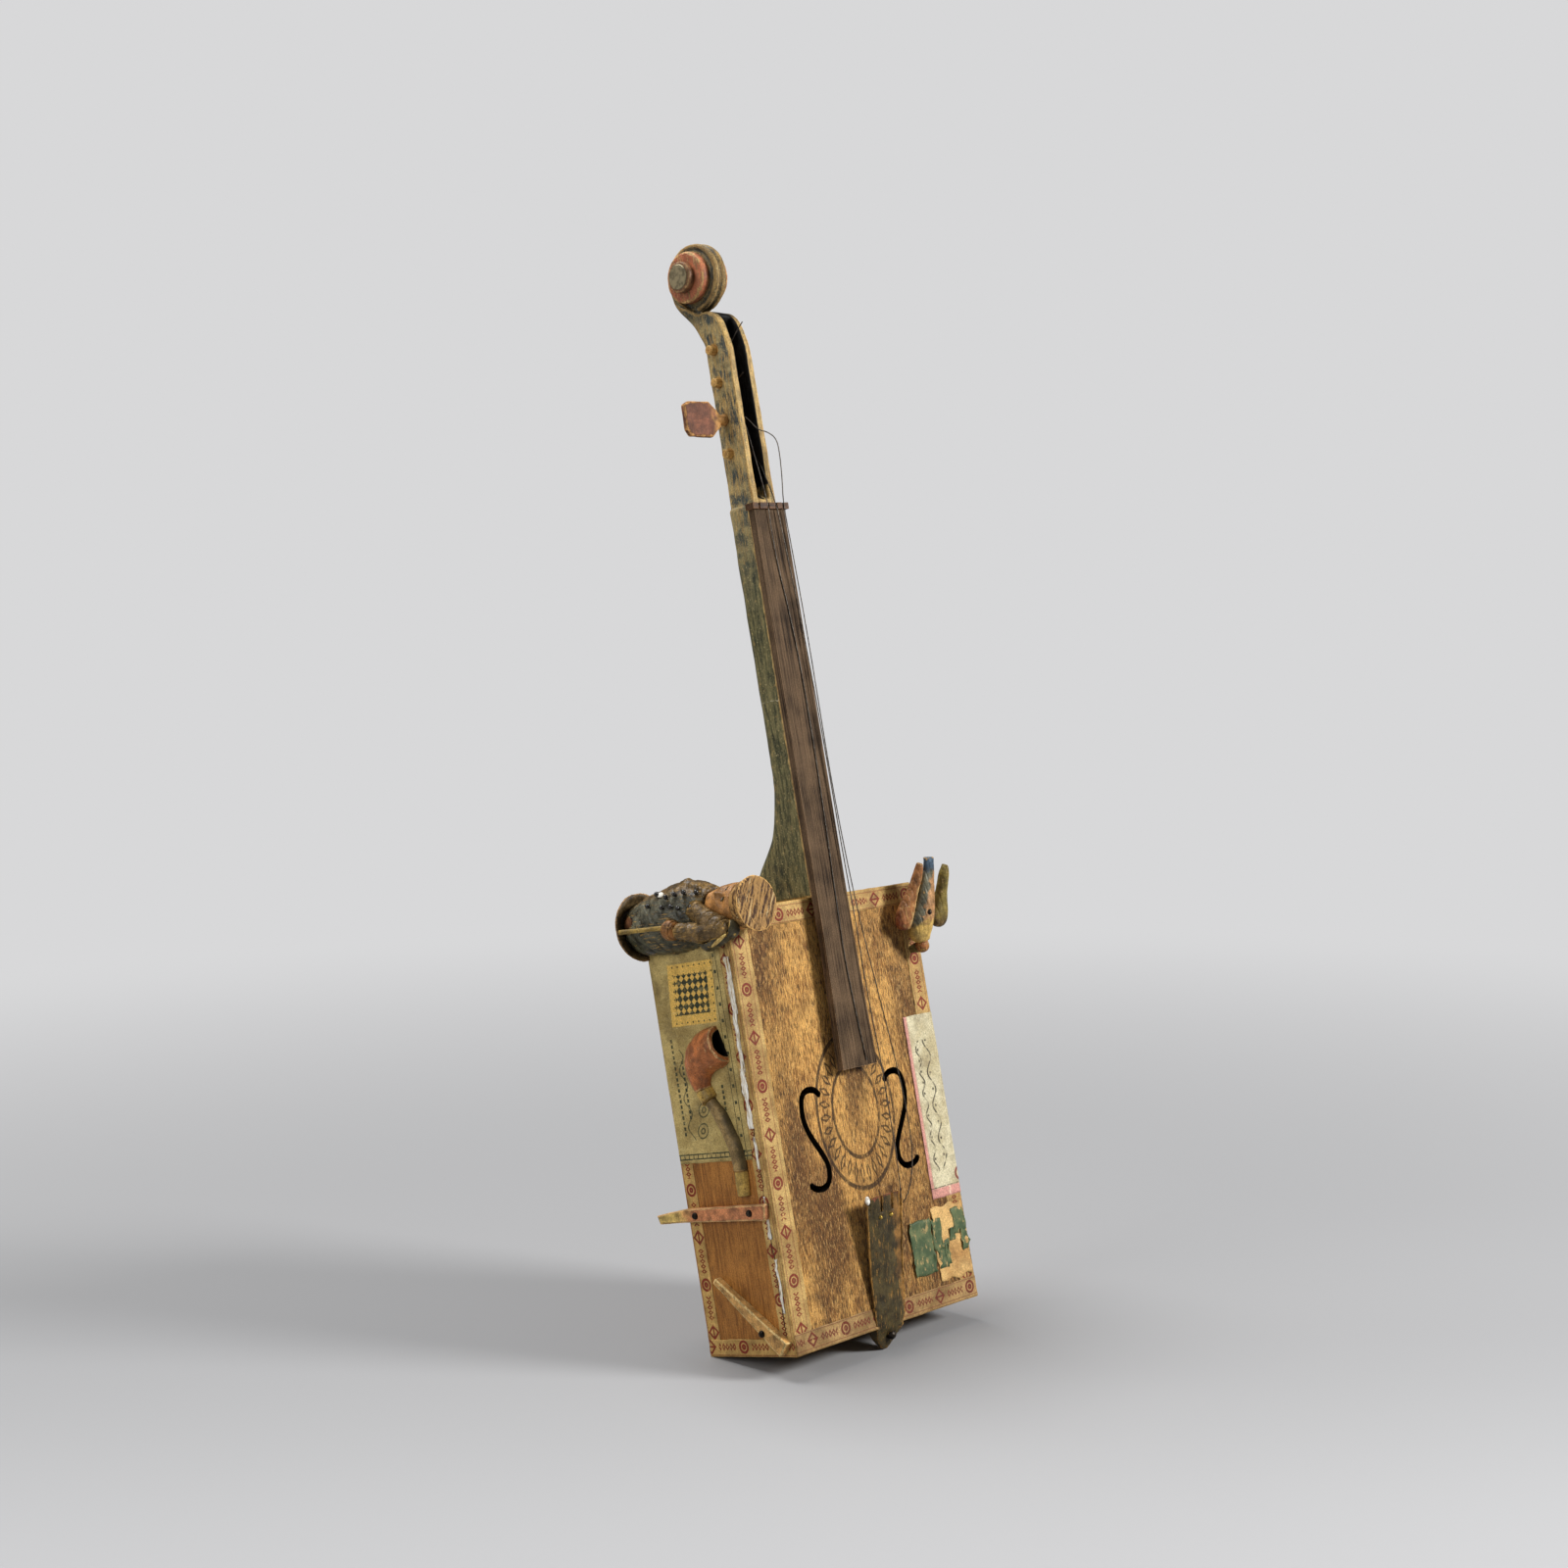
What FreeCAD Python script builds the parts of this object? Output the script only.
import FreeCAD, Part
import Sketcher
import math
import os
import re

V = FreeCAD.Vector

# A home-made fiddle on a wooden cigar box. The origin is the centre of the box's back face, +Z runs up
# the neck, the front faces -Y and +X is the viewer's right. Millimetres.
SIZES = {
    # Box, boards glued and nailed
    "box_height": 229.0,
    "box_width": 143.0,
    "box_depth": 64.0,
    "end_board": 5.0,
    "face_board": 4.5,
    "side_board": 4.5,
    "brad_radius": 0.6,
    "brad_length": 14.0,
    "f_hole_inset": 26.0,
    "f_hole_width": 15.5,
    "f_hole_low": 78.7,
    "f_hole_tall": 51.3,
    "f_hole_stroke": 3.5,
    "fit_gap": 0.3,
    # Blocks inside and the neck's screws
    "neck_block_width": 50.0,
    "neck_block_tall": 20.0,
    "tail_block_width": 40.0,
    "tail_block_tall": 15.0,
    "screw_radius": 2.0,
    "screw_length": 45.0,
    "screw_head": 4.0,
    "screw_head_tall": 3.0,
    "screw_spread": 14.0,
    # Neck
    "neck_lift": 4.4,
    "neck_length": 208.6,
    "neck_width": 22.0,
    "neck_thick": 18.7,
    "neck_corner": 7.5,
    "heel_deep": 36.7,
    "heel_tall": 77.0,
    # Pegbox
    "pegbox_lift": 6.2,
    "pegbox_deep": 18.6,
    "pegbox_tall": 132.0,
    "pegbox_wide": 17.6,
    "pegbox_wide_top": 15.0,
    "pegbox_corner": 3.0,
    "slot_wide": 8.8,
    "slot_floor": 3.5,
    "slot_low": 2.5,
    "slot_tall": 103.0,
    # Scroll
    "wheel_radius": 18.8,
    "wheel_thick": 8.3,
    "wheel_up": 130.6,
    "wheel_back": 22.7,
    "wheel_groove": 1.4,
    "disc_radius": 13.9,
    "disc_thick": 5.85,
    "disc_edge": 0.8,
    "boss_radius": 8.3,
    "boss_thick": 4.5,
    "cap_radius": 6.8,
    "cap_thick": 0.8,
    # Pegs
    "peg_radius": 2.5,
    "peg_clearance": 0.05,
    "peg_stub": 3.9,
    "peg_sink": 11.2,
    "peg_first": 87.0,
    "peg_second": 69.0,
    "peg_third": 48.5,
    "peg_fourth": 30.0,
    "peg_neck": 8.0,
    "peg_neck_radius": 3.4,
    "peg_head_long": 26.0,
    "peg_head_wide": 19.5,
    "peg_head_thick": 3.2,
    # Fingerboard and nut
    "board_length": 300.6,
    "board_width": 23.0,
    "board_end_width": 26.4,
    "board_flare": 67.0,
    "board_thick": 4.2,
    "nut_width": 27.0,
    "nut_thick": 3.4,
    "nut_tall": 6.1,
    "notch_deep": 0.9,
    # Strings
    "wire_radius": 0.3,
    # Tailpiece
    "tail_width": 28.7,
    "tail_top": 69.0,
    "tail_tip": 12.4,
    "tail_lean": 11.5,
    "tail_foot": 7.0,
    "tail_slot_wide": 1.3,
    "tail_slot_tall": 9.0,
    "tail_nail_radius": 1.1,
    "tail_nail_head": 2.6,
    "tail_nail_length": 17.0,
    "knot_radius": 1.2,
    # Pipe on the left side
    "pipe_tall": 88.0,
    "pipe_deep": 33.0,
    "pipe_low": 83.0,
    "pipe_front": 14.0,
    "bowl_radius": 11.5,
    "bowl_bore": 7.2,
    "bowl_bore_deep": 10.0,
    "stem_radius": 4.4,
    # Strip and stick nailed on the left side
    "strip_thick": 4.0,
    "strip_tall": 8.4,
    "strip_up": 74.5,
    "strip_front": 2.4,
    "strip_length": 82.5,
    "stick_thick": 4.5,
    "stick_rise": 36.0,
    "stick_reach": 43.0,
    "stick_wide": 9.0,
    "stick_tip": 3.0,
    "stick_low": 4.4,
    "stick_front": 5.4,
    "small_nail_radius": 0.8,
    "small_nail_head": 1.9,
    "small_nail_length": 8.0,
    # Bird on the front's upper right corner
    "bird_inset": 3.5,
    "bird_drop": 41.0,
    "bird_long": 53.0,
    "bird_out": 20.0,
    "bird_wide": 13.0,
    "bird_nail_length": 22.0,
    # Lying figure over the upper left edge
    "figure_long": 84.0,
    "figure_half": 20.5,
    "figure_lift": 0.5,
    "figure_front": 14.0,
    "hat_radius": 14.5,
    "hat_deep": 9.0,
    "head_radius": 11.5,
    "hem_radius": 18.8,
    "hem_wall": 2.6,
    "hem_deep": 9.5,
    "baton_radius": 1.3,
    "bead_radius": 1.3,
    "bead_proud": 1.6,
    "bead_pin": 0.4,
}

# Shares of the f-hole's width and height, along the stroke's middle from the inner upper end
F_HOLE_SHARES = [(0.0, 0.942), (0.29, 1.0), (0.71, 0.98), (0.9, 0.844), (0.84, 0.649), (0.26, 0.337),
                 (0.065, 0.162), (0.26, 0.025), (0.58, 0.0), (1.0, 0.051)]

# Shares of the heel's depth and height, from its top down
HEEL_SHARES = [(0.0, 1.0), (0.1, 0.62), (0.2, 0.48), (0.39, 0.35), (0.64, 0.2), (1.0, 0.0)]

# Shares of the pegbox's depth and height: its front shoulder, then its back from the scroll down
SHOULDER_SHARES = [(0.0, 0.64), (0.1, 0.72), (0.27, 0.782), (0.5, 0.815), (1.03, 0.826)]
BACK_SHARES = [(2.06, 1.0), (2.05, 0.955), (1.95, 0.895), (1.73, 0.85), (1.41, 0.797), (1.14, 0.735),
               (1.02, 0.69), (1.0, 0.64)]

# Shares of the paddle's length and half width, round its outline from the peg's neck
PADDLE_SHARES = [(0.0, 0.35), (0.26, 1.0), (0.84, 0.98), (0.98, 0.78), (1.0, -0.62), (0.9, -0.98),
                 (0.28, -1.0), (0.0, -0.4)]

# Shares of the nut's width where the strings cross it
NOTCH_SHARES = [-0.333, -0.074, 0.156, 0.344]

# The tailpiece's side view: shares of its lean (out of the front) and its height over the box's foot
TAIL_FRONT_SHARES = [(1.0, 1.0), (0.41, 0.42), (0.14, 0.06), (0.02, -0.02)]
TAIL_WIDTH_SHARES = [(-0.98, 1.0), (0.98, 1.0), (0.89, 0.42), (0.8, 0.06), (0.7, -0.02), (0.43, -0.09),
                     (-0.05, -0.185), (-0.36, -0.16), (-0.62, -0.09), (-0.76, -0.01), (-0.87, 0.25),
                     (-0.92, 0.42)]
TAIL_SLOT_SHARES = [-0.82, -0.22, 0.36, 0.86]

# The strings' routes, points chosen by hand: across, behind the box's front, over its bottom
STRING_SECOND = [(-0.6, 2.1, 510.0), (-0.9, -3.2, 480.0), (-1.6, -8.3, 453.0), (-2.0, -10.3, 438.7),
                 (-1.8, -9.3, 424.0), (-0.4, -9.05, 402.0), (2.1, -9.05, 382.1), (3.9, -9.05, 353.2),
                 (4.3, -9.05, 312.5), (3.2, -9.05, 262.0), (1.6, -9.05, 222.0), (0.9, -9.05, 184.4),
                 (5.0, -9.05, 139.5)]
STRING_THIRD = [(3.9, 1.9, 472.8), (3.9, -2.6, 466.5), (3.8, -6.6, 455.0), (4.2, -10.4, 440.5),
                (5.4, -10.7, 420.0), (7.7, -11.2, 380.0), (9.2, -11.4, 335.0), (10.0, -11.4, 292.0),
                (10.5, -11.2, 250.0), (12.0, -11.0, 213.0), (11.8, -11.0, 183.0), (12.5, -11.0, 158.0),
                (13.9, -11.0, 136.0), (13.6, -10.9, 112.0), (14.3, -10.9, 94.0), (13.1, -11.2, 78.0),
                (12.3, -10.6, 64.5)]
STRING_FOURTH = [(-3.0, 2.0, 490.0), (-3.9, -3.8, 490.6), (-4.0, -8.0, 487.0), (-0.6, -10.4, 480.6),
                 (4.9, -12.0, 479.3), (9.8, -13.4, 475.2), (10.1, -13.4, 466.0), (9.7, -12.6, 453.5),
                 (9.4, -10.7, 440.5), (10.3, -10.8, 415.0), (10.9, -11.2, 376.0), (10.8, -11.4, 338.0),
                 (10.6, -11.4, 296.0), (12.1, -11.3, 252.0), (15.5, -11.0, 212.0), (19.9, -11.0, 177.0),
                 (24.0, -11.0, 146.0), (27.5, -11.0, 113.0), (27.5, -10.6, 88.0), (23.8, -10.2, 74.0),
                 (18.2, -9.6, 64.0), (15.6, -6.0, 60.0), (11.8, -5.2, 57.4)]
WIRE_STUBS = [[(0.9, 2.2, 529.4), (-0.1, -3.3, 534.3), (0.6, -11.0, 539.8)],
              [(1.6, 2.1, 511.4), (-0.6, -3.0, 510.9), (-2.4, -8.2, 512.6)]]

# The pipe's middle line, shares of its depth behind the front and its height, with radius shares
BOWL_SHARES = [(0.09, 0.9, 0.88), (0.22, 0.885, 0.96), (0.4, 0.865, 0.98), (0.6, 0.81, 0.88),
               (0.7, 0.72, 0.66), (0.66, 0.64, 0.48)]
STEM_SHARES = [(0.56, 0.572, 0.84), (0.49, 0.53, 0.9), (0.38, 0.475, 1.0), (0.27, 0.39, 1.02),
               (0.17, 0.29, 1.02), (0.13, 0.2, 1.02), (0.13, 0.15, 1.0)]
MOUTH_SHARES = [(0.12, 0.15, 0.94), (0.13, 0.09, 0.98), (0.14, 0.0, 0.9)]

# The bird, shares of its width across, its reach out of the front and its length up from the head
BIRD_BODY_SHARES = [(-0.3, 0.47, 0.165, 0.32, 0.2), (-0.42, 0.52, 0.28, 0.6, 0.27), (-0.3, 0.64, 0.42, 0.56, 0.27),
                    (-0.14, 0.78, 0.62, 0.42, 0.2), (-0.02, 0.9, 0.82, 0.33, 0.12), (0.0, 1.0, 1.0, 0.3, 0.1)]
BIRD_HEAD_SHARES = (-0.3, 0.43, 0.11)
WING_LEFT_SHARES = [(-1.06, 0.4, 0.3, 0.24, 0.13), (-1.1, 0.41, 0.37, 0.5, 0.2), (-1.0, 0.5, 0.5, 0.48, 0.2),
                    (-0.68, 0.74, 0.74, 0.22, 0.15), (-0.52, 0.96, 0.95, 0.1, 0.09)]
WING_RIGHT_SHARES = [(0.6, 0.56, 0.28, 0.14, 0.1), (0.72, 0.6, 0.36, 0.44, 0.2), (0.76, 0.7, 0.5, 0.38, 0.19),
                     (0.78, 0.92, 0.72, 0.24, 0.15), (0.8, 1.1, 0.9, 0.1, 0.09)]

# The figure, along its length from the hat's face: place, across, up, half width and half height
COAT_SHARES = [(0.3, 0.28, 0.02, 0.58, 0.62), (0.38, 0.22, 0.02, 0.74, 0.8), (0.48, 0.15, 0.01, 0.8, 0.9),
               (0.64, 0.02, -0.04, 0.75, 0.86), (0.79, -0.07, -0.1, 0.64, 0.76), (0.97, -0.12, -0.1, 0.42, 0.5)]
HEAD_SHARES = [(0.1, 0.44, 0.05, 0.92, 1.02), (0.17, 0.4, 0.04, 0.97, 1.08), (0.24, 0.34, 0.02, 0.95, 1.04),
               (0.3, 0.28, 0.02, 0.86, 0.92)]
ARM_SHARES = [(0.33, -0.34, 0.08, 0.25), (0.25, -0.38, -0.14, 0.27), (0.17, -0.3, -0.4, 0.31),
              (0.29, -0.5, -0.46, 0.27), (0.42, -0.66, -0.34, 0.22)]
FAR_ARM_SHARES = [(0.38, 0.0, 0.6, 0.22), (0.46, 0.02, 0.72, 0.24), (0.62, -0.04, 0.6, 0.21),
                  (0.8, -0.14, 0.5, 0.18)]
HAND_SHARES = (0.49, -0.7, -0.28, 0.27)
BATON_SHARES = [(0.5, -0.72, -0.2), (0.87, -1.06, -0.12)]
LEG_SHARES = [(0.72, 0.04, 0.34, 0.24), (0.72, -0.4, 0.04, 0.24)]
TRIM_SHARES = [(0.13, -0.1, -0.5, 0.25), (0.2, -0.26, -0.6, 0.28), (0.3, -0.2, -0.7, 0.26)]
BEAD_SHARES = [(0.33, 123.0), (0.4, 130.0), (0.46, 135.0), (0.52, 140.0), (0.62, 130.0),
               (0.34, 161.0), (0.42, 162.0), (0.47, 158.0), (0.54, 158.0), (0.67, 151.0)]

doc = FreeCAD.newDocument("cigar_box_fiddle")
sheet = doc.addObject("Spreadsheet::Sheet", "dims")
for row, (name, number) in enumerate(SIZES.items(), 1):
    sheet.set(f"A{row}", name)
    sheet.set(f"B{row}", str(number))
    sheet.setAlias(f"B{row}", name)
doc.recompute()

nodes = []


class Sizes:
    """The sheet's numbers by name, for the shapes that are carved rather than sketched."""

    def __getattr__(self, name):
        return float(sheet.get(name))


s = Sizes()


def formula(text):
    """A formula in the sheet's names, as the document reads it."""
    return re.sub("[a-z_]+", lambda word: "dims." + word.group() if word.group() in SIZES else word.group(), text)


def bind(thing, prop, text):
    thing.setExpression(prop, formula(text))


def keep(thing):
    nodes.append(thing)
    return thing


def place(thing, x, y, z):
    for axis, text in zip("xyz", (x, y, z)):
        bind(thing, f"Placement.Base.{axis}", text)


def sketched_body(label, role):
    """A body with an empty sketch on one of its own planes."""
    body = doc.addObject("PartDesign::Body", label)
    sketch = body.newObject("Sketcher::SketchObject", label + "_sketch")
    plane = next(item for item in body.Origin.OriginFeatures if item.Role == role)
    sketch.AttachmentSupport = [(plane, "")]
    sketch.MapMode = "FlatFace"
    return body, sketch


def polygon(sketch, corners):
    """A closed outline; each corner is a pair of formulas, measured from the sketch's origin."""
    count = len(corners)
    turns = [2 * math.pi * i / count for i in range(count)]
    ring = [V(math.cos(turn), math.sin(turn)) for turn in turns]
    for i in range(count):
        sketch.addGeometry(Part.LineSegment(ring[i], ring[(i + 1) % count]))
    for i in range(count):
        sketch.addConstraint(Sketcher.Constraint("Coincident", i, 2, (i + 1) % count, 1))
    for i, corner in enumerate(corners):
        for kind, start, text in zip(("DistanceX", "DistanceY"), ring[i], corner):
            index = sketch.addConstraint(Sketcher.Constraint(kind, -1, 1, i, 1, start))
            sketch.renameConstraint(index, f"{kind}{i}")
            bind(sketch, f"Constraints.{kind}{i}", text)


def padded(label, role, corners, thick, at, both_ways=False):
    """A flat piece: an outline padded to its thickness."""
    body, sketch = sketched_body(label, role)
    polygon(sketch, corners)
    pad = body.newObject("PartDesign::Pad", label + "_pad")
    pad.Profile = sketch
    if both_ways:
        pad.SideType = "Symmetric"
    bind(pad, "Length", thick)
    place(body, *at)
    return body


def rectangle(wide, tall):
    """Corners of a rectangle centred on the sketch's origin."""
    return [(f"-({wide}) / 2", f"-({tall}) / 2"), (f"({wide}) / 2", f"-({tall}) / 2"),
            (f"({wide}) / 2", f"({tall}) / 2"), (f"-({wide}) / 2", f"({tall}) / 2")]


def turned(label, profile, axis, at):
    """A round piece: pairs of radius and distance along axis, turned about it."""
    body, sketch = sketched_body(label, "XZ_Plane")
    polygon(sketch, profile)
    turn = body.newObject("PartDesign::Revolution", label + "_turn")
    turn.Profile = sketch
    turn.ReferenceAxis = (sketch, ["V_Axis"])
    turn.Angle = 360
    body.Placement = FreeCAD.Placement(V(), FreeCAD.Rotation(V(0, 0, 1), axis))
    place(body, *at)
    return body


def carved(label, shape):
    """A piece shaped freely from the sheet's numbers."""
    piece = doc.addObject("Part::Feature", label)
    piece.Shape = shape
    piece.Placement = FreeCAD.Placement()
    return piece


def cut(label, base, *tools):
    """The base with each tool taken out of it in turn."""
    for count, tool in enumerate(tools, 1):
        result = doc.addObject("Part::Cut", label if count == len(tools) else f"{label}_cut_{count}")
        result.Base = base
        result.Tool = tool
        base = result
    return base


def at_box(across, behind, above):
    """A point by its place across, behind the box's front face and above its bottom."""
    return V(across, behind - s.box_depth, above - s.box_height / 2)


def at_neck(across, behind, above):
    """The same, but above the top of the nut."""
    return at_box(across, behind, above + s.box_height + s.neck_length + s.nut_thick)


def smooth(points, first=None, last=None):
    curve = Part.BSplineCurve()
    if first is None:
        curve.interpolate(Points=points)
    else:
        curve.interpolate(Points=points, InitialTangent=first, FinalTangent=last)
    return curve.toShape()


def prism(edges, along):
    """Edges in order round an outline, closed into a face and pushed along a vector."""
    return Part.Face(Part.Wire(edges)).extrude(along)


def lines(points, closed=True):
    ends = points[1:] + points[:1] if closed else points[1:]
    return [Part.LineSegment(a, b).toShape() for a, b in zip(points, ends)]


def oval(middle, half_wide, half_deep, across, along):
    """An oval ring: half_wide lies towards across, half_deep square to it, both square to along."""
    side = (across - along * across.dot(along)).normalize()
    up = along.cross(side)
    matrix = FreeCAD.Matrix(side.x * half_wide, up.x * half_deep, along.x, middle.x,
                            side.y * half_wide, up.y * half_deep, along.y, middle.y,
                            side.z * half_wide, up.z * half_deep, along.z, middle.z,
                            0, 0, 0, 1)
    ring = Part.Wire([Part.Circle(V(), V(0, 0, 1), 1).toShape()])
    return ring.transformGeometry(matrix)


def headings(points):
    """The direction of a route at each of its points."""
    before = [points[0]] + points[:-1]
    after = points[1:] + [points[-1]]
    return [(b - a).normalize() for a, b in zip(before, after)]


def limb(middles, halves, across, along=None):
    """A smooth solid through ovals set along a route, their half sizes given in pairs."""
    ways = [along] * len(middles) if along else headings(middles)
    rings = [oval(middle, wide, deep, across, way) for middle, (wide, deep), way in zip(middles, halves, ways)]
    return Part.makeLoft(rings, True, False)


def route_edges(points):
    """Straight runs joined by tangent arcs, each as large as its two runs allow."""
    edges = []
    start = points[0]
    radii = []
    for before, corner, after in zip(points, points[1:], points[2:]):
        back = (before - corner).normalize()
        ahead = (after - corner).normalize()
        reach = 0.45 * min(before.distanceToPoint(corner), after.distanceToPoint(corner))
        turn = math.pi - back.getAngle(ahead)
        radius = reach / math.tan(turn / 2)
        radii.append(radius)
        into = corner + back * reach
        out = corner + ahead * reach
        middle = (back + ahead).normalize()
        centre = corner + middle * math.hypot(radius, reach)
        edges.append(Part.LineSegment(start, into).toShape())
        edges.append(Part.Arc(into, centre - middle * radius, out).toShape())
        start = out
    edges.append(Part.LineSegment(start, points[-1]).toShape())
    return edges, radii


def wire_tube(name, places):
    """A round wire along its route, with its radii and volume printed."""
    points = [at_box(*spot) for spot in places]
    edges, radii = route_edges(points)
    path = Part.Wire(edges)
    ring = Part.Wire([Part.Circle(points[0], points[1] - points[0], s.wire_radius).toShape()])
    tube = path.makePipeShell([ring], True, False, 2)
    ideal = math.pi * s.wire_radius ** 2 * path.Length
    print(name, "radii", [round(radius, 1) for radius in radii], "volume share", round(tube.Volume / ideal, 4))
    return tube


def round_nail(point, direction, radius, length, head):
    """A nail whose domed head stands on the surface at point and whose shank runs along direction."""
    shank = Part.makeCylinder(radius, length, point, direction)
    dome = Part.makeSphere(head, point, direction * -1, 0, 90, 360)
    return shank.fuse(dome).removeSplitter()


def box_corner():
    """The room that the box takes up, and what it may lie back on, for carvings that sit on its edge."""
    return Part.makeBox(s.box_width, 2 * s.box_depth, s.box_height, at_box(-s.box_width / 2, 0, 0))


# The box's brads: along the front and back panels' long edges, and down through both ends.
def box_brads():
    shapes = []
    inset = s.side_board / 2
    for side in (-1, 1):
        across = side * (s.box_width / 2 - inset)
        for share in (0.12, 0.5, 0.88):
            shapes.append(Part.makeCylinder(s.brad_radius, s.brad_length, at_box(across, 0, share * s.box_height),
                                            V(0, 1, 0)))
            shapes.append(Part.makeCylinder(s.brad_radius, s.brad_length,
                                            at_box(across, s.box_depth, share * s.box_height), V(0, -1, 0)))
        for share in (0.2, 0.8):
            behind = share * s.box_depth
            shapes.append(Part.makeCylinder(s.brad_radius, s.brad_length, at_box(across, behind, 0), V(0, 0, 1)))
            shapes.append(Part.makeCylinder(s.brad_radius, s.brad_length, at_box(across, behind, s.box_height),
                                            V(0, 0, -1)))
    return Part.makeCompound(shapes)


def f_hole(side):
    """One sound hole's room: a curled stroke of even width with round ends, through the front."""
    middle = smooth([at_box(side * (s.f_hole_inset + across * s.f_hole_width), 2 * s.face_board,
                            s.f_hole_low + up * s.f_hole_tall) for across, up in F_HOLE_SHARES])
    half = s.f_hole_stroke / 2
    steps = 4 * len(F_HOLE_SHARES)
    start, end = middle.ParameterRange
    spots = [start + (end - start) * i / steps for i in range(steps + 1)]
    edge_points = {1: [], -1: []}
    for spot in spots:
        way = middle.tangentAt(spot)
        for hand in edge_points:
            edge_points[hand].append(middle.valueAt(spot) + V(-way.z, 0, way.x) * half * hand)
    one, other = edge_points[1], edge_points[-1]
    tips = [middle.valueAt(end) + middle.tangentAt(end) * half, middle.valueAt(start) - middle.tangentAt(start) * half]
    outline = [smooth(one), Part.Arc(one[-1], tips[0], other[-1]).toShape(), smooth(other[::-1]),
               Part.Arc(other[0], tips[1], one[0]).toShape()]
    return prism(outline, V(0, -3 * s.face_board, 0))


def neck_side(points_and_edges, wide):
    return prism(points_and_edges, V(wide, 0, 0)).translated(V(-wide / 2, 0, 0))


def long_back_edges(solid, face_y):
    """Edges that run up a neck on its back, not across it."""
    return [edge for edge in solid.Edges
            if abs(edge.Vertexes[0].Z - edge.Vertexes[-1].Z) > s.neck_lift
            and min(vertex.Y for vertex in edge.Vertexes) > face_y + s.neck_lift]


def shaft():
    """Heel and shaft: one side outline, rounded along its back."""
    front = -s.neck_lift
    back = front + s.neck_thick
    top = s.box_height + s.neck_length + s.nut_thick
    heel = [at_box(0, back + share * s.heel_deep, s.box_height + up * s.heel_tall) for share, up in HEEL_SHARES]
    corners = [heel[-1], at_box(0, front, s.box_height), at_box(0, front, top), at_box(0, back, top), heel[0]]
    outline = lines(corners, closed=False) + [smooth(heel, V(0, 0, -1), V(0, 1, -1))]
    solid = neck_side(outline, s.neck_width)
    return solid.makeFillet(s.neck_corner, long_back_edges(solid, front - s.box_depth))


def narrowing(low_wide, top_wide, tall, low=0.0):
    """A block that narrows upwards from the nut, for the pegbox's cheeks and its slot."""
    corners = [at_neck(-low_wide / 2, 0, low), at_neck(low_wide / 2, 0, low),
               at_neck(top_wide / 2, 0, tall), at_neck(-top_wide / 2, 0, tall)]
    deep = 4 * s.pegbox_deep
    return prism(lines(corners), V(0, deep, 0)).translated(V(0, -deep / 2, 0))


def pegbox_point(deep_share, tall_share):
    return at_neck(0, deep_share * s.pegbox_deep - s.pegbox_lift, tall_share * s.pegbox_tall)


def is_long_back(edge, back_y, wheel):
    """Whether an edge runs up the pegbox's back, outside the seat of the scroll's disc."""
    middle = edge.valueAt((edge.FirstParameter + edge.LastParameter) / 2)
    from_wheel = math.hypot(middle.y - wheel.y, middle.z - wheel.z)
    tall = abs(edge.Vertexes[0].Z - edge.Vertexes[-1].Z)
    return middle.y > back_y - s.fit_gap and from_wheel > s.disc_radius * 1.05 and tall > s.slot_floor


def pegbox():
    """The pegbox without its slot: a side outline that curls back under the scroll."""
    shoulder = [pegbox_point(*share) for share in SHOULDER_SHARES]
    back = [pegbox_point(*share) for share in BACK_SHARES]
    low_front, low_back = pegbox_point(0, 0), pegbox_point(1, 0)
    wheel = at_neck(0, s.wheel_back - s.pegbox_lift, s.wheel_up)
    cradle = wheel + V(0, 1, -1).normalize() * s.disc_radius
    outline = [Part.LineSegment(low_back, low_front).toShape(), Part.LineSegment(low_front, shoulder[0]).toShape(),
               smooth(shoulder, V(0, 0, 1), V(0, 1, 0)), Part.Arc(shoulder[-1], cradle, back[0]).toShape(),
               smooth(back, V(0, 0, -1), V(0, 0, -1)), Part.LineSegment(back[-1], low_back).toShape()]
    solid = neck_side(outline, s.pegbox_wide).common(
        narrowing(s.pegbox_wide, s.pegbox_wide_top, 2 * s.pegbox_tall))
    solid = solid.Solids[0]
    seat = Part.makeCylinder(s.disc_radius + s.fit_gap, 2 * s.pegbox_wide,
                             wheel - V(s.pegbox_wide, 0, 0), V(1, 0, 0))
    rounded = [edge for edge in solid.Edges if is_long_back(edge, low_back.y, wheel)]
    return solid.makeFillet(s.pegbox_corner, rounded).cut(seat)


def peg_slot():
    """The room between the cheeks: open at the front, ramped at the nut, closed above."""
    floor = s.pegbox_deep - s.pegbox_lift - s.slot_floor
    mouth = -2 * s.pegbox_lift
    top = s.slot_low + s.slot_tall
    corners = [at_neck(0, mouth, s.slot_low), at_neck(0, -s.pegbox_lift, s.slot_low),
               at_neck(0, floor, s.slot_low + s.slot_wide), at_neck(0, floor, top - s.slot_wide),
               at_neck(0, floor - s.slot_wide, top), at_neck(0, mouth, top)]
    return neck_side(lines(corners), s.pegbox_wide).common(
        narrowing(s.slot_wide, s.slot_wide * s.pegbox_wide_top / s.pegbox_wide, s.pegbox_tall))


def scroll_wheel():
    middle = at_neck(0, s.wheel_back - s.pegbox_lift, s.wheel_up)
    wheel = Part.makeCylinder(s.wheel_radius, s.wheel_thick, middle - V(s.wheel_thick / 2, 0, 0), V(1, 0, 0))
    groove = Part.makeTorus(s.wheel_radius, s.wheel_groove, middle, V(1, 0, 0))
    return wheel.cut(groove)


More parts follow.
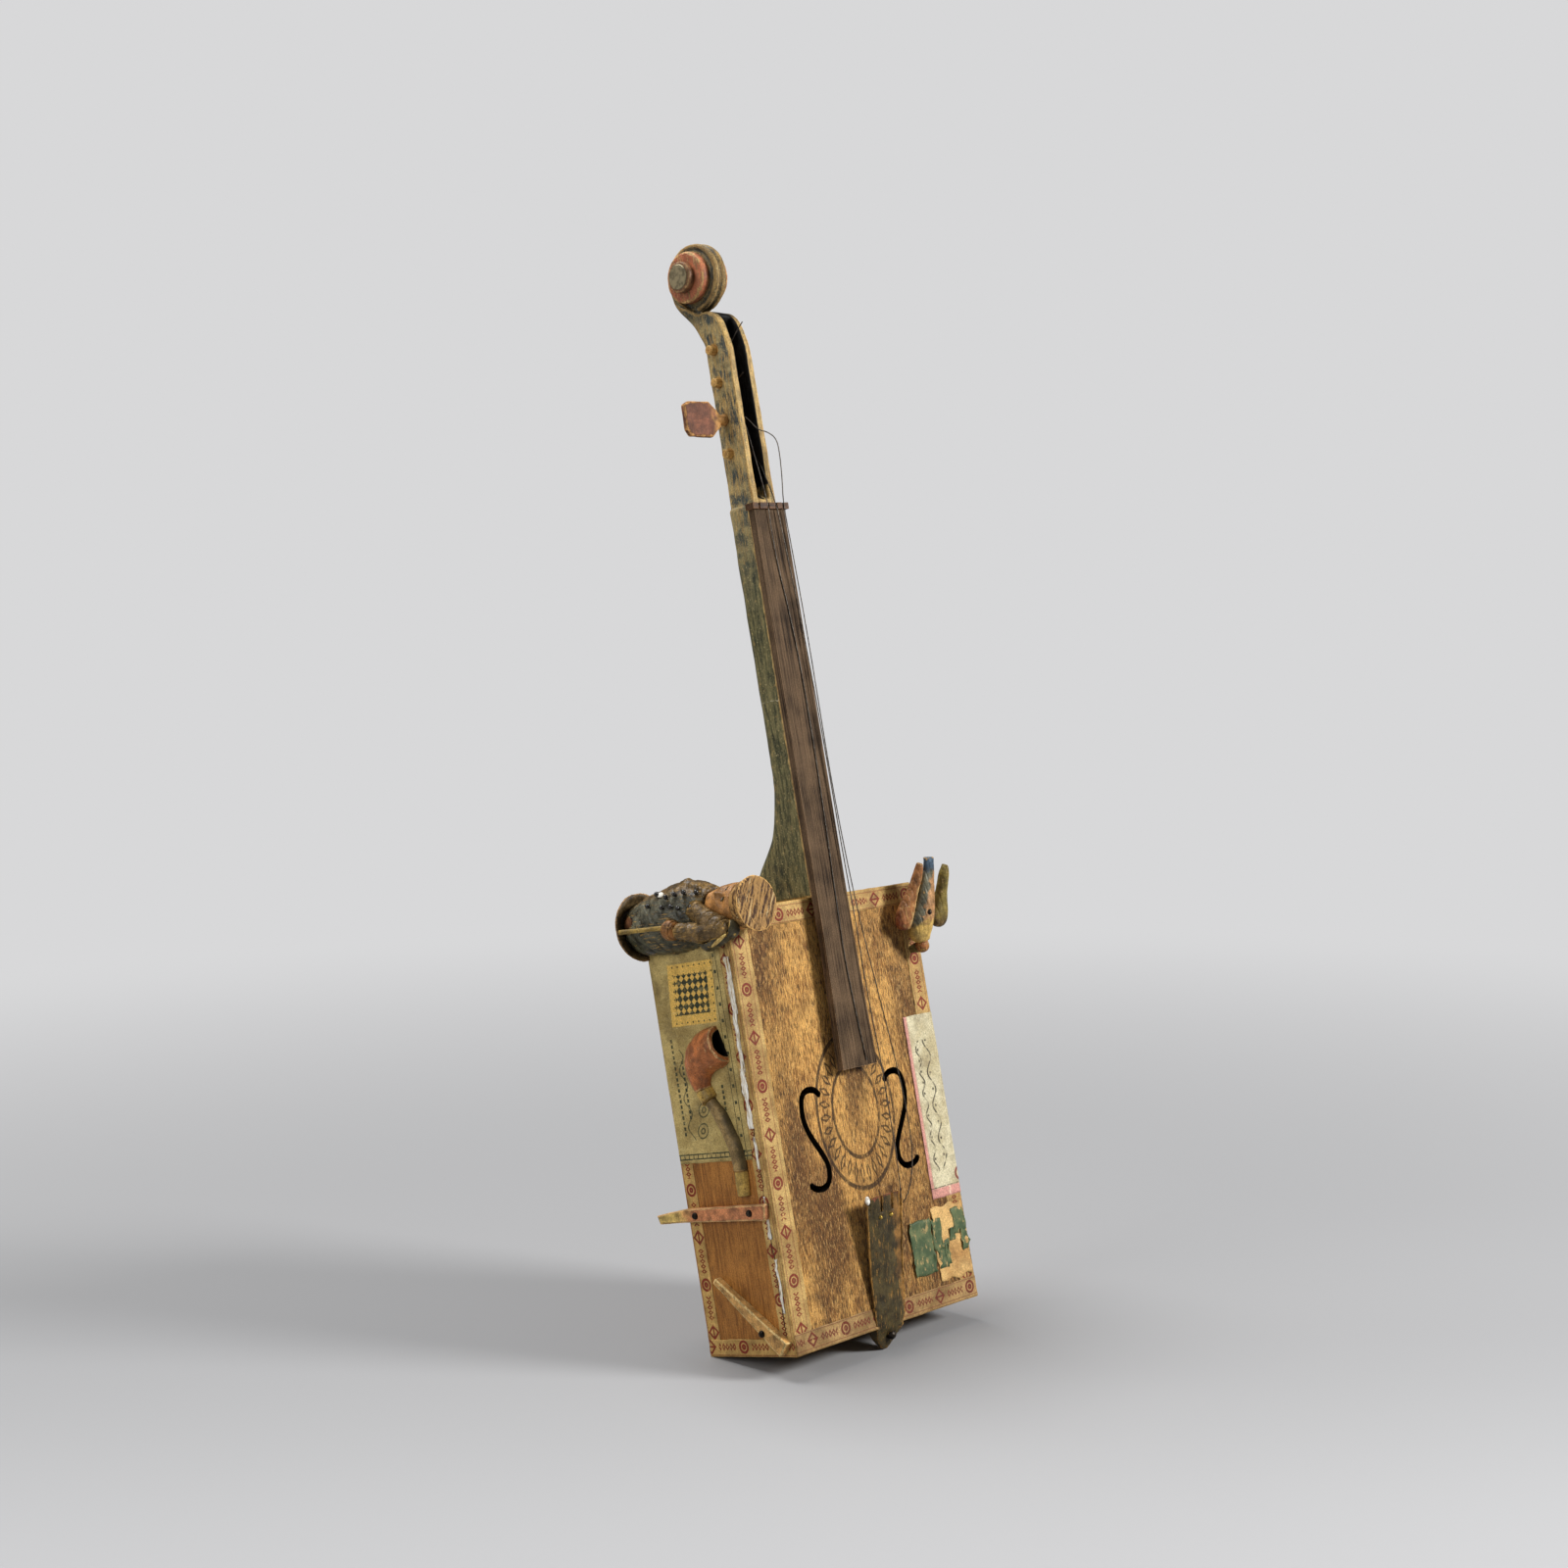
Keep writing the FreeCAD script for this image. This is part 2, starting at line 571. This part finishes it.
def peg_room(up):
    """The bore of one peg through both cheeks."""
    reach = s.pegbox_wide
    start = at_neck(-reach, s.peg_sink - s.pegbox_lift, up)
    return Part.makeCylinder(s.peg_radius + s.peg_clearance, 2 * reach, start, V(1, 0, 0))


def screws():
    """Two screws, head down in the neck block, up through the top end into the heel."""
    shapes = []
    low = s.box_height - s.end_board - s.neck_block_tall
    for side in (-1, 1):
        behind = s.box_depth / 2 - s.neck_thick / 2 + side * s.screw_spread / 2
        foot = at_box(0, behind, low)
        head = Part.makeCone(s.screw_head, s.screw_radius, s.screw_head_tall, foot, V(0, 0, 1))
        shank = Part.makeCylinder(s.screw_radius, s.screw_length, foot, V(0, 0, 1))
        shapes.append(head.fuse(shank).removeSplitter())
    return Part.makeCompound(shapes)


def neck(screw_shape):
    peg_heights = (s.peg_first, s.peg_second, s.peg_third, s.peg_fourth)
    wood = shaft().fuse(pegbox()).fuse(scroll_wheel())
    wood = wood.cut(peg_slot())
    for up in peg_heights:
        wood = wood.cut(peg_room(up))
    return wood.cut(screw_shape).removeSplitter()


def peg_stub(label, height):
    """A peg worn down to its shank, with a stub on the left and flush with the right cheek."""
    long = "pegbox_wide / 2 + pegbox_wide_top / 2 + peg_stub - fit_gap"
    edge = "peg_radius / 5"
    profile = [("0", "0"), (f"peg_radius - {edge}", "0"), ("peg_radius", edge), ("peg_radius", long), ("0", long)]
    left = "-pegbox_wide / 2 - peg_stub"
    return turned(label, profile, V(1, 0, 0),
                  (left, "peg_sink - pegbox_lift - box_depth",
                   f"box_height / 2 + neck_length + nut_thick + {height}"))


def headed_peg():
    """The third peg, with its neck and its flat head on the left."""
    axis = at_neck(0, s.peg_sink - s.pegbox_lift, s.peg_third)
    right = s.pegbox_wide_top / 2
    left = s.pegbox_wide / 2 + s.fit_gap
    shank = Part.makeCylinder(s.peg_radius, left + right, axis - V(left, 0, 0), V(1, 0, 0))
    collar = Part.makeCone(s.peg_neck_radius, s.peg_head_thick / 2, s.peg_neck, axis - V(left, 0, 0), V(-1, 0, 0))
    start = left + s.peg_neck * 0.5
    half = s.peg_head_wide / 2
    spots = [axis + V(-start - along * s.peg_head_long, -s.peg_head_thick / 2, up * half)
             for along, up in PADDLE_SHARES]
    paddle = prism(lines(spots), V(0, s.peg_head_thick, 0))
    paddle = paddle.makeFillet(s.peg_head_thick * 0.3, paddle.Edges)
    return shank.fuse(collar).fuse(paddle).removeSplitter()


def nut_notches():
    """Grooves over the nut's top, one for each string."""
    shapes = []
    for share in NOTCH_SHARES:
        middle = at_neck(share * s.nut_width, -s.neck_lift - s.nut_tall, -1.5 * s.nut_thick)
        shapes.append(Part.makeCylinder(s.notch_deep, 2 * s.nut_thick, middle, V(0, 0, 1)))
    return Part.makeCompound(shapes)


def tailpiece(nail):
    """Leaning tailpiece: its side view, drawn from top to tip and hooked under the box, by its front view."""
    front = [at_box(0, -lean * s.tail_lean, up * s.tail_top) for lean, up in TAIL_FRONT_SHARES]
    thick = s.tail_lean * 0.22
    tip = at_box(0, s.tail_foot * 0.74, -s.tail_tip)
    back = [at_box(0, s.tail_foot, -0.8 * s.tail_tip), at_box(0, s.tail_foot, 0), at_box(0, 0, 0),
            at_box(0, 0, 0.14 * s.tail_top), front[0] + V(0, thick, -thick / 4)]
    side = neck_side(lines(front + [tip] + back), s.tail_width)
    face = [at_box(across * s.tail_width / 2, 0, up * s.tail_top) for across, up in TAIL_WIDTH_SHARES]
    reach = 2 * (s.tail_lean + s.tail_foot)
    wood = side.common(prism(lines(face), V(0, reach, 0)).translated(V(0, -reach / 2, 0)))
    for share in TAIL_SLOT_SHARES:
        corner = at_box(share * s.tail_width / 2 - s.tail_slot_wide / 2, -2 * s.tail_lean,
                        s.tail_top - s.tail_slot_tall)
        wood = wood.cut(Part.makeBox(s.tail_slot_wide, 3 * s.tail_lean, 2 * s.tail_slot_tall, corner))
    return wood.cut(nail)


def tail_nail():
    """The round-headed nail driven up and back through the foot into the bottom end."""
    head = at_box(0, s.tail_foot * 0.13, -s.tail_tip * 0.42)
    return round_nail(head, V(0, 1, 1).normalize(), s.tail_nail_radius, s.tail_nail_length, s.tail_nail_head)


def string_knots(wood):
    """What is left of two strings: a knot on the tailpiece's face below each left slot."""
    shapes = []
    for share in TAIL_SLOT_SHARES[1:3]:
        middle = at_box((share - 0.1) * s.tail_width / 2, -0.83 * s.tail_lean, 0.835 * s.tail_top)
        shapes.append(Part.makeSphere(s.knot_radius, middle).cut(wood))
    return Part.makeCompound(shapes)


def on_pipe(share):
    """A point of the pipe's middle line on the box's left side."""
    behind, above = share[:2]
    return at_box(-s.box_width / 2, s.pipe_front + behind * s.pipe_deep, s.pipe_low + above * s.pipe_tall)


def half_relief(shares, radius):
    """Half of a smooth round limb, flat on the box's left side."""
    middles = [on_pipe(share) for share in shares]
    halves = [(share[2] * radius, share[2] * radius) for share in shares]
    whole = limb(middles, halves, V(1, 0, 0))
    return whole.cut(box_corner())


def pipe_bowl():
    """The bowl, hollowed from its rim, which faces the front."""
    rim, next_ring = on_pipe(BOWL_SHARES[0]), on_pipe(BOWL_SHARES[1])
    inward = (next_ring - rim).normalize()
    hollow = Part.makeCylinder(s.bowl_bore, s.bowl_bore_deep, rim - inward * s.fit_gap, inward)
    return half_relief(BOWL_SHARES, s.bowl_radius).cut(hollow)


def pipe_ferrule():
    """The ring between the bowl and the stem."""
    ends = [BOWL_SHARES[-1], STEM_SHARES[0]]
    middles = [on_pipe(share) for share in ends]
    way = headings([on_pipe(BOWL_SHARES[-2])] + middles)[-1]
    radius = BOWL_SHARES[-1][2] * s.bowl_radius
    ring = Part.makeCylinder(radius, middles[0].distanceToPoint(middles[1]), middles[0], way)
    ring = ring.cut(half_relief(BOWL_SHARES, s.bowl_radius)).cut(half_relief(STEM_SHARES, s.stem_radius))
    return ring.cut(box_corner()).Solids[0]


def bird_point(share):
    across, out, up = share[:3]
    return at_box(s.box_width / 2 - s.bird_inset + across * s.bird_wide, -out * s.bird_out,
                  s.box_height - s.bird_drop + up * s.bird_long)


def bird_limb(shares):
    halves = [(share[3] * s.bird_wide, share[4] * s.bird_wide * 1.6) for share in shares]
    return limb([bird_point(share) for share in shares], halves, V(1, 0, 0))


def bird_nail():
    """The nail through the bird's breast into the panel."""
    start = bird_point((-0.34, 0.9, 0.44))
    return round_nail(start, V(0, 1, 0), s.small_nail_radius, s.bird_nail_length, s.small_nail_head * 0.8)


def bird_head():
    return Part.makeSphere(s.bird_wide * 0.3, bird_point(BIRD_HEAD_SHARES))


def bird_beak():
    """A small cone from the head, pointing back and down to the box."""
    start = bird_point(BIRD_HEAD_SHARES)
    way = V(-0.4, 1, -0.2).normalize()
    return Part.makeCone(s.bird_wide * 0.27, s.bird_wide * 0.15, s.bird_wide * 0.58, start, way)


def figure_point(along, across, up):
    """A point of the figure: along from the hat's face, across and up in halves of its height."""
    return at_box(-s.box_width / 2 + across * s.figure_half, along * s.figure_long - s.figure_front,
                  s.box_height + s.figure_lift + up * s.figure_half)


def lying_limb(shares, scale):
    """Ovals along the figure's length: place, across, up, half width, half height."""
    middles = [figure_point(*share[:3]) for share in shares]
    halves = [(share[3] * scale, share[4] * scale) for share in shares]
    return limb(middles, halves, V(1, 0, 0), V(0, 1, 0))


def round_limb(shares, scale):
    """A rounded limb along its own route: along, across, up, radius."""
    middles = [figure_point(*share[:3]) for share in shares]
    radii = [share[3] * scale for share in shares]
    limb_solid = Part.makeSphere(radii[0], middles[0])
    for start, end, thick, thin in zip(middles, middles[1:], radii, radii[1:]):
        way = end - start
        limb_solid = limb_solid.fuse(Part.makeCone(0.97 * thick, 0.97 * thin, way.Length, start, way))
        limb_solid = limb_solid.fuse(Part.makeSphere(thin, end))
    return limb_solid


def hem_bowl():
    """The coat's hem: a cup that opens towards the head, round the legs."""
    middle = figure_point(0.905, -0.12, -0.07)
    floor = s.hem_radius / 2
    outer = Part.makeCone(s.hem_radius, floor, s.hem_deep, middle, V(0, 1, 0))
    inner = Part.makeCone(s.hem_radius - s.hem_wall, floor - s.hem_wall / 2, s.hem_deep - s.hem_wall,
                          middle, V(0, 1, 0))
    return outer.cut(inner)


def coat_solid():
    return lying_limb(COAT_SHARES, s.figure_half).fuse(round_limb(FAR_ARM_SHARES, s.figure_half))


def bead_pins(coat):
    """Two rows of round-headed pins in the coat, their heads standing proud of it."""
    shapes = []
    middle = COAT_SHARES[2]
    for along, angle in BEAD_SHARES:
        core = figure_point(along, middle[1] * (1 - along), middle[2])
        way = V(math.cos(math.radians(angle)), 0, math.sin(math.radians(angle)))
        ray = Part.makeLine(core, core + way * 2 * s.figure_half)
        inside = max(ray.common(coat).Edges, key=lambda edge: edge.Length)
        skin = core + way * max(vertex.Point.distanceToPoint(core) for vertex in inside.Vertexes)
        head = Part.makeSphere(s.bead_radius, skin + way * s.bead_proud)
        pin = Part.makeCylinder(s.bead_pin, s.bead_proud + 2 * s.bead_radius, skin - way * 2 * s.bead_radius, way)
        shapes.append(head.fuse(pin).removeSplitter())
    return Part.makeCompound(shapes)


def box_pieces():
    brads = keep(carved("box_nails", box_brads()))
    inner_tall = "box_height - 2 * end_board"
    inner_deep = "box_depth - 2 * face_board"
    face = rectangle("box_width", inner_tall)
    side = rectangle(inner_deep, inner_tall)
    end = rectangle("box_width", "box_depth")
    middle = "-box_depth / 2"
    front = padded("front_blank", "XZ_Plane", face, "face_board", ("0", "face_board - box_depth", "0"))
    back = padded("back_blank", "XZ_Plane", face, "face_board", ("0", "0", "0"))
    left = padded("left_blank", "YZ_Plane", side, "side_board", ("-box_width / 2", middle, "0"))
    right = padded("right_blank", "YZ_Plane", side, "side_board", ("box_width / 2 - side_board", middle, "0"))
    top = padded("top_blank", "XY_Plane", end, "end_board", ("0", middle, "box_height / 2 - end_board"))
    bottom = padded("bottom_blank", "XY_Plane", end, "end_board", ("0", middle, "-box_height / 2"))
    holes = [carved("f_hole_left_room", f_hole(-1)), carved("f_hole_right_room", f_hole(1))]
    pin = keep(carved("bird_nail", bird_nail()))
    tail = keep(carved("tailpiece_nail", tail_nail()))
    side_nails = keep(carved("side_nails", strip_nails()))
    bolts = keep(carved("neck_screws", screws()))
    keep(cut("front_panel", front, holes[0], holes[1], brads, pin))
    keep(cut("back_panel", back, brads))
    keep(cut("left_side", left, brads, side_nails))
    keep(cut("right_side", right, brads, pin))
    keep(cut("top_end", top, brads, bolts))
    keep(cut("bottom_end", bottom, brads, tail, side_nails))
    block = padded("neck_block_blank", "XY_Plane", rectangle("neck_block_width", inner_deep), "neck_block_tall",
                   ("0", middle, "box_height / 2 - end_board - neck_block_tall"))
    keep(cut("neck_block", block, bolts))
    stop = padded("tail_block_blank", "XY_Plane", rectangle("tail_block_width", inner_deep), "tail_block_tall",
                  ("0", middle, "end_board - box_height / 2"))
    keep(cut("tail_block", stop, tail))
    return bolts, tail, pin, side_nails


def neck_pieces(bolts):
    keep(carved("neck", neck(bolts.Shape)))
    wheel = ("wheel_back - pegbox_lift - box_depth", "box_height / 2 + neck_length + nut_thick + wheel_up")
    for side, sign in (("left", "-"), ("right", "")):
        way = V(-1, 0, 0) if sign else V(1, 0, 0)
        disc = [("0", "0"), ("disc_radius", "0"), ("disc_radius", "disc_thick - disc_edge"),
                ("disc_radius - disc_edge", "disc_thick"), ("0", "disc_thick")]
        boss = [("0", "0"), ("boss_radius", "0"), ("boss_radius", "boss_thick - disc_edge / 2"),
                ("boss_radius - disc_edge / 2", "boss_thick"), ("0", "boss_thick")]
        cap = [("0", "0"), ("cap_radius", "0"), ("cap_radius", "cap_thick / 2"),
               ("cap_radius - cap_thick / 2", "cap_thick"), ("0", "cap_thick")]
        stack = [("disc", disc, "wheel_thick / 2"), ("boss", boss, "wheel_thick / 2 + disc_thick"),
                 ("cap", cap, "wheel_thick / 2 + disc_thick + boss_thick")]
        for part, profile, out in stack:
            keep(turned(f"scroll_{part}_{side}", profile, way, (f"{sign}({out})", *wheel)))


def board_and_nut():
    low = "box_height / 2 + neck_length - board_length"
    half, end_half = "board_width / 2", "board_end_width / 2"
    outline = [(f"-{end_half}", "0"), (end_half, "0"), (half, "board_flare"), (half, "board_length"),
               (f"-{half}", "board_length"), (f"-{half}", "board_flare")]
    keep(padded("fingerboard", "XZ_Plane", outline, "board_thick", ("0", "-neck_lift - box_depth", low)))
    blank = padded("nut_blank", "XZ_Plane", rectangle("nut_width", "nut_thick"), "nut_tall",
                   ("0", "-neck_lift - box_depth", "box_height / 2 + neck_length + nut_thick / 2"))
    keep(cut("nut", blank, carved("nut_notch_room", nut_notches())))


def peg_pieces():
    keep(peg_stub("peg_1", "peg_first"))
    keep(peg_stub("peg_2", "peg_second"))
    keep(carved("peg_3", headed_peg()))
    keep(peg_stub("peg_4", "peg_fourth"))


def string_pieces():
    for number, route in (("2", STRING_SECOND), ("3", STRING_THIRD), ("4", STRING_FOURTH)):
        keep(carved(f"string_{number}", wire_tube(f"string_{number}", route)))
    stubs = [wire_tube("stub", route) for route in WIRE_STUBS]
    keep(carved("wire_stubs", Part.makeCompound(stubs)))


def tail_pieces(nail):
    wood = tailpiece(nail.Shape)
    keep(carved("tailpiece", wood))
    keep(carved("string_knots", string_knots(wood)))


def pipe_pieces():
    keep(carved("pipe_bowl", pipe_bowl()))
    keep(carved("pipe_ferrule", pipe_ferrule()))
    stem = half_relief(STEM_SHARES, s.stem_radius)
    keep(carved("pipe_stem", stem))
    keep(carved("pipe_mouthpiece", half_relief(MOUTH_SHARES, s.stem_radius).cut(stem)))


def strip_nails():
    """Two nails in the side strip and one in the corner stick, driven in from the left."""
    strip_face = -s.box_width / 2 - s.strip_thick
    stick_face = -s.box_width / 2 - s.stick_thick
    spots = [at_box(strip_face, s.strip_front + share * s.strip_length, s.strip_up) for share in (0.14, 0.635)]
    spots.append(at_box(stick_face, s.stick_front + 0.3 * s.stick_reach, s.stick_low + 0.23 * s.stick_rise))
    return Part.makeCompound([round_nail(spot, V(1, 0, 0), s.small_nail_radius, s.small_nail_length,
                                         s.small_nail_head) for spot in spots])


def side_trim(nails):
    half = "strip_tall / 2"
    outline = [("0", f"{half}"), ("strip_tall / 6", f"-{half}"), ("strip_length * 0.74", "-strip_tall * 0.4"),
               ("strip_length * 0.98", "-strip_tall * 0.44"), ("strip_length", "strip_tall * 0.12"),
               ("strip_length * 0.73", "strip_tall * 0.44")]
    strip = padded("strip_blank", "YZ_Plane", outline, "strip_thick",
                   ("-box_width / 2 - strip_thick", "strip_front - box_depth", "strip_up - box_height / 2"))
    keep(cut("side_strip", strip, nails))
    stick_outline = [("-stick_wide * 0.36", "stick_wide * 0.34"), ("stick_wide * 0.3", "-stick_wide * 0.4"),
                     ("stick_reach + stick_tip * 0.33", "stick_rise - stick_tip * 0.38"),
                     ("stick_reach - stick_tip * 0.33", "stick_rise + stick_tip * 0.38")]
    stick = padded("stick_blank", "YZ_Plane", stick_outline, "stick_thick",
                   ("-box_width / 2 - stick_thick", "stick_front - box_depth", "stick_low - box_height / 2"))
    keep(cut("corner_stick", stick, nails))


def bird_pieces(nail):
    body = bird_limb(BIRD_BODY_SHARES)
    head = bird_head()
    keep(carved("bird_body", body.cut(nail.Shape).cut(box_corner())))
    keep(carved("bird_head", head.cut(body)))
    keep(carved("bird_beak", bird_beak().cut(head).cut(body).cut(box_corner())))
    for side, shares in (("left", WING_LEFT_SHARES), ("right", WING_RIGHT_SHARES)):
        keep(carved(f"bird_wing_{side}", bird_limb(shares).cut(body).cut(nail.Shape).cut(box_corner())))


def figure_pieces():
    """The carving: each piece keeps its own form and the ones named after it are cut back to it."""
    room = box_corner()
    start, end = [figure_point(*share) for share in BATON_SHARES]
    baton = Part.makeCylinder(s.baton_radius, start.distanceToPoint(end), start, end - start)
    fist = Part.makeSphere(HAND_SHARES[3] * s.figure_half, figure_point(*HAND_SHARES[:3]))
    hat = Part.makeCone(s.hat_radius, s.head_radius * 1.02, s.hat_deep,
                        figure_point(0.0, 0.463, 0.05), V(0, 1, 0)).cut(room)
    hem = hem_bowl().cut(room).cut(baton)
    coat = coat_solid()
    beads = bead_pins(coat)
    arm = round_limb(ARM_SHARES, s.figure_half).cut(fist).cut(baton).cut(beads).cut(room)
    scarf = round_limb(TRIM_SHARES, s.figure_half).cut(arm).cut(hat).cut(room)
    head = lying_limb(HEAD_SHARES, s.head_radius).cut(hat).cut(arm).cut(scarf).cut(room)
    head = max(head.Solids, key=lambda solid: solid.Volume)
    legs = [Part.makeCylinder(share[3] * s.figure_half, s.hem_deep + s.figure_half * 0.4,
                              figure_point(*share[:3]), V(0, 1, 0)).cut(hem).cut(room) for share in LEG_SHARES]
    for other in [arm, fist, scarf, hem, room, baton, beads, head] + legs:
        coat = coat.cut(other)
    pieces = {"figure_coat": coat, "figure_hem": hem, "figure_head": head, "figure_hat": hat,
              "figure_arm": arm, "figure_hand": fist.cut(baton), "figure_baton": baton,
              "figure_scarf": scarf, "figure_legs": Part.makeCompound(legs), "figure_pins": beads}
    for label, shape in pieces.items():
        keep(carved(label, shape))


bolts, tail, bird_pin, side_nails = box_pieces()
neck_pieces(bolts)
board_and_nut()
peg_pieces()
string_pieces()
tail_pieces(tail)
pipe_pieces()
side_trim(side_nails)
bird_pieces(bird_pin)
figure_pieces()
doc.recompute()

for thing in doc.Objects:
    if "Invalid" in thing.State or "Error" in thing.State:
        raise RuntimeError(f"{thing.Label} failed: {thing.State}")
for piece in nodes:
    if piece.Shape.isNull() or not piece.Shape.isValid() or not piece.Shape.Solids:
        raise RuntimeError(f"{piece.Label} has no good shape")

os.makedirs("parts", exist_ok=True)
for piece in nodes:
    piece.Shape.exportStep(f"parts/{piece.Label}.step")
    print(piece.Label, len(piece.Shape.Solids), "solids", round(piece.Shape.Volume, 1), "mm3")
